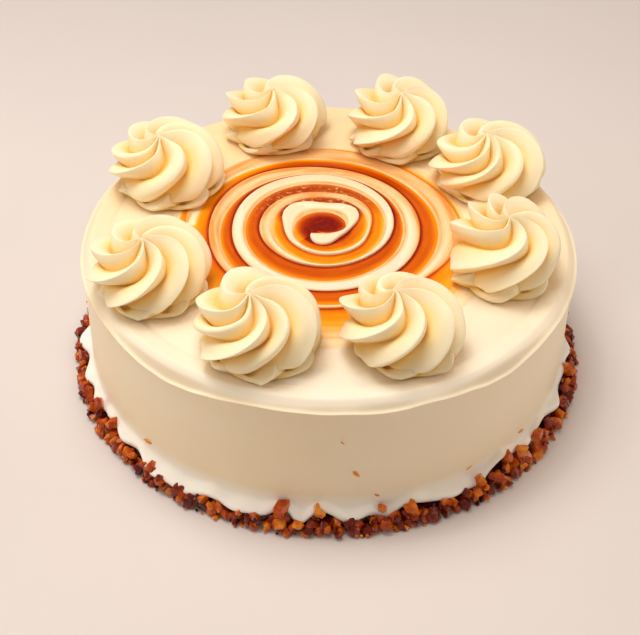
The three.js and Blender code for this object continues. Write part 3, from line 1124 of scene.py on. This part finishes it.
coatLook = {  # a bump is given as its strength and its height
    "sockets": {**softCream, "Subsurface Scale": 0.6, "Roughness": 0.4},
    "clouds": 14,  # noise scale, for each metre
    "tones": [(0.35, "#f9e6c4"), (0.65, "#fbebce")],
    "top": (60, 61.5, "#fcefdb"),  # from and to which height this tint comes in; painted light: the top is painted whiter, as if lit from above
    "back": (-95, 50, "#f6dcae"),  # the same from front to back: the top gets yellower, painted shade and warm light off the glaze
    "foot": (16, 9, "#fff8ee"),  # the same downwards: the lower edge is painted whitest, a painted highlight where its lumps face up into the light
    "streaks": {"Across": 500},
    "streakHeight": 1.5,
    "filmStreaks": {"Across": 260, "Along": 1.2},
    "filmPatches": (0.3, 0.7, 0.7, 1.1),  # range of the streaks, and what it becomes
    "filmLeast": 0.001,
    "filmTones": [(0.0, "#fbedd0"), (0.4, "#fddfb0"), (0.8, "#fbc788"), (1.0, "#f0984a")],
    "bump": (0.3, 0.4),
}


def comesIn(tree, away, row):  # how far the tint of a row has come in, and that tint
    start, end, tint = row
    return rangeNode(tree, away, start * mm, end * mm), colour(tint)


def coatMaterial(pits, streaks):
    material, tree, shader = newMaterial("spreadCream", coatLook["sockets"])
    place = placeNode(tree)
    parts = addNode(tree, "SeparateXYZ")
    link(tree, place, parts.inputs[0])
    # painted light: the top of the coat is painted whiter, as if lit from above
    top, paintedTopLight = comesIn(tree, parts.outputs["Z"], coatLook["top"])
    # painted light: towards the back the top is painted yellower, as shade and warm light off the glaze
    back, paintedBackShade = comesIn(tree, parts.outputs["Y"], coatLook["back"])
    # painted highlight: the upward-facing lumps of the lower edge are painted whitest
    foot, paintedFootHighlight = comesIn(tree, parts.outputs["Z"], coatLook["foot"])
    base = rampNode(tree, noiseNode(tree, place, coatLook["clouds"], detail=3), coatLook["tones"])
    base = mixColour(tree, top, base, paintedTopLight)
    base = mixColour(tree, mathNode(tree, "MULTIPLY", top, back), base, paintedBackShade)
    base = mixColour(tree, foot, base, paintedFootHighlight)
    film = attributeNode(tree, "film")
    broad = rangeNode(tree, aroundSwirl(tree, streaks, coatLook["filmStreaks"]), *coatLook["filmPatches"])
    wet = rampNode(tree, mathNode(tree, "MULTIPLY", film, broad, clamp=True), coatLook["filmTones"])
    tint = mixColour(tree, mathNode(tree, "GREATER_THAN", film, coatLook["filmLeast"]), base, wet)
    link(tree, tint, shader.inputs["Base Color"])
    lines = groupNode(tree, streaks, coatLook["streaks"])
    lines = mathNode(tree, "MULTIPLY", lines, coatLook["streakHeight"])
    height = mathNode(tree, "ADD", groupNode(tree, pits, {}), lines)
    link(tree, bumpNode(tree, height, *coatLook["bump"]), shader.inputs["Normal"])
    return material


pipedLook = {
    "sockets": {**softCream, "Subsurface Scale": 0.5, "Roughness": 0.42},
    "tones": [(0.0, "#fff1cf"), (0.3, "#ffeabf"), (0.7, "#fddf98"), (1.0, "#f7c766")],  # crest to valley: painted shade, more golden into the valleys
    "bump": (0.22, 0.3),
}


def pipedMaterial(pits):
    material, tree, shader = newMaterial("pipedCream", pipedLook["sockets"])
    tint = rampNode(tree, attributeNode(tree, "paintedValleyShade"), pipedLook["tones"])
    link(tree, tint, shader.inputs["Base Color"])
    link(tree, bumpNode(tree, groupNode(tree, pits, {}), *pipedLook["bump"]), shader.inputs["Normal"])
    return material


glazeLook = {
    "sockets": {"Roughness": 0.06, "Specular IOR Level": 0.12, "Coat Weight": 0.06, "Coat Roughness": 0.04},
    "tones": [
        (0.0, "#780c02"), (0.16, "#a62c02"), (0.32, "#cb5200"), (0.5, "#e17200"), (0.64, "#ee9006"),
        (0.78, "#f8a826"), (0.9, "#fbc878"), (1.0, "#fbe5bc"),
    ],
    "streaks": {"Across": 380},
    "swing": 0.3,  # of the tone, along the streaks
    "flecks": (420, 4, 0.7),  # noise scale, detail and roughness of the smear
    "torn": (0.42, 0.6),  # range of the flecks over which the smear comes in
    "tornTones": [(0.3, "#8e2c06"), (0.55, "#b8500e"), (0.72, "#f0b878")],
    "bump": (0.5, 0.6),
}


def glazeMaterial(streaks):
    material, tree, shader = newMaterial("wetGlaze", glazeLook["sockets"])
    place = placeNode(tree)
    lines = aroundSwirl(tree, streaks, glazeLook["streaks"])
    varied = mathNode(tree, "ADD", attributeNode(tree, "tone"), swingNode(tree, lines, glazeLook["swing"]))
    flecks = noiseNode(tree, place, *glazeLook["flecks"])
    torn = rangeNode(tree, flecks, *glazeLook["torn"])
    torn = mathNode(tree, "MULTIPLY", attributeNode(tree, "smear"), torn, clamp=True)
    tint = rampNode(tree, varied, glazeLook["tones"])
    brown = rampNode(tree, flecks, glazeLook["tornTones"])
    link(tree, mixColour(tree, torn, tint, brown), shader.inputs["Base Color"])
    height = mathNode(tree, "ADD", lines, mathNode(tree, "MULTIPLY", torn, flecks))
    link(tree, bumpNode(tree, height, *glazeLook["bump"]), shader.inputs["Normal"])
    return material


pralineLook = {
    "sockets": {
        "Roughness": 0.1, "Specular IOR Level": 0.3, "Coat Weight": 0.3, "Coat Roughness": 0.03,
        "Subsurface Weight": 0.2, "Subsurface Radius": (0.004, 0.0014, 0.0003), "Subsurface Scale": 0.5,
    },
    "clouds": (220, 3, 0.6),
    "swing": 1.1,
    "tones": [(0.0, "#400600"), (0.25, "#701800"), (0.5, "#a83a00"), (0.72, "#d06402"), (1.0, "#f2a030")],
    "bump": (0.35, 0.8),
}


def pralineMaterial():
    material, tree, shader = newMaterial("caramelPraline", pralineLook["sockets"])
    place = placeNode(tree)
    cloud = noiseNode(tree, place, *pralineLook["clouds"])
    varied = mathNode(tree, "ADD", attributeNode(tree, "tone"), swingNode(tree, cloud, pralineLook["swing"]))
    link(tree, rampNode(tree, varied, pralineLook["tones"]), shader.inputs["Base Color"])
    link(tree, bumpNode(tree, cloud, *pralineLook["bump"]), shader.inputs["Normal"])
    return material


# The cake

setStage()
layFloor()
pits = softPitsGroup()
streaks = spunStreaksGroup()
spread = coatMaterial(pits, streaks)
piped = pipedMaterial(pits)
coat = joinAll([creamCoat(), creamComb()])
finishPiece(coat, "creamCoat", spread, "cream_body")
glazePool(glazeMaterial(streaks))
for number, row in enumerate(rosette["each"], 1):
    pipeRosette(number, row, piped)
pralineBand(pralineMaterial())

print("cake finished")
